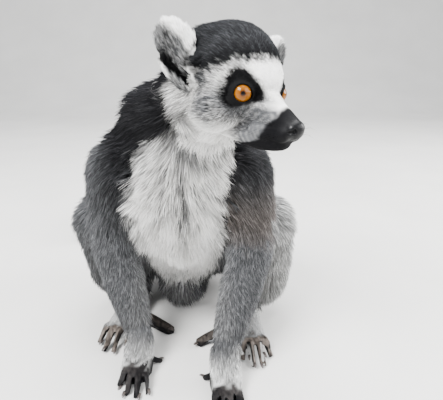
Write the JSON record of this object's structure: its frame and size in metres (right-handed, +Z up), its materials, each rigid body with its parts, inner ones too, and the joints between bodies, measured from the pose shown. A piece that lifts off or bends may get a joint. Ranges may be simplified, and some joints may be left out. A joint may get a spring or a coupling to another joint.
{
  "type": "ring-tailed lemur",
  "caption": "life-size ring-tailed lemur sitting upright with its hands on the ground in front of its feet, head turned to its left, tail curled on the ground behind",
  "frame": {"origin": "on the ground, below the middle of the animal's overall box", "axes": "+Z up, the animal's trunk faces -Y and its left side is +X"},
  "size_m": [0.3314, 0.5632, 0.3189],
  "materials": {
    "head_coat": "short white and grey fur",
    "ear_coat": "white fur",
    "mantle_coat": "dark grey fur",
    "body_coat": "dense grey fur, white below",
    "limb_coat": "grey grizzled fur",
    "tail_coat": "bushy fur in black and white rings",
    "paw_leather": "matte dark skin with short fur on top",
    "eye": "glossy amber"
  },
  "bodies": {
    "root": {"head": "head_coat", "neck": "mantle_coat", "trunk": "body_coat", "ear_left": "ear_coat", "ear_right": "ear_coat", "eye_left": "eye", "eye_right": "eye", "upper_arm_left": "limb_coat", "upper_arm_right": "limb_coat", "forearm_left": "limb_coat", "forearm_right": "limb_coat", "hand_left": "paw_leather", "hand_right": "paw_leather", "thigh_left": "body_coat", "thigh_right": "body_coat", "shank_left": "body_coat", "shank_right": "body_coat", "foot_left": "paw_leather", "foot_right": "paw_leather", "tail_1": "tail_coat", "tail_2": "tail_coat", "tail_3": "tail_coat", "tail_4": "tail_coat", "tail_5": "tail_coat", "tail_6": "tail_coat"}
  },
  "joints": []
}
